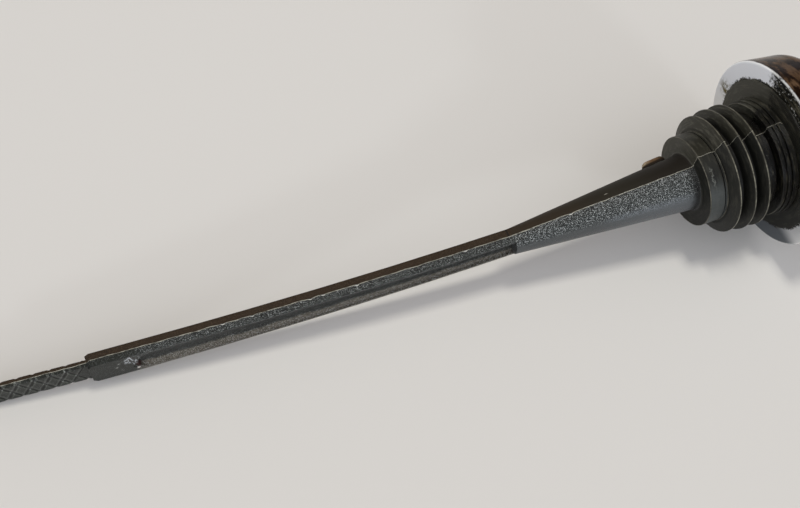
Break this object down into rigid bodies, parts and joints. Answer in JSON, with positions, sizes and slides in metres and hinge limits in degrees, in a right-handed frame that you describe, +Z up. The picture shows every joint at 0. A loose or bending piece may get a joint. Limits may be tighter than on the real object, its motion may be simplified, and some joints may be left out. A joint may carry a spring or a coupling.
{
  "type": "engine oil dipstick",
  "caption": "Push-in engine oil dipstick: a flat fluted stick with a crosshatched blade and a finned filler plug, moulded in one piece under a round chromed cap.",
  "frame": {"origin": "on the floor, under the middle of the part's box", "axes": "+X along the stick towards the cap, +Z up from the floor, -Y the side that the picture looks at"},
  "size_m": [0.2393, 0.0524, 0.0521],
  "materials": {
    "moulded_plastic": "oily, smooth on the back half and spark-textured on the front half",
    "chrome_plate": "polished"
  },
  "bodies": {
    "root": {"plug_and_stick": "moulded_plastic", "chrome_cap": "chrome_plate"}
  },
  "joints": []
}
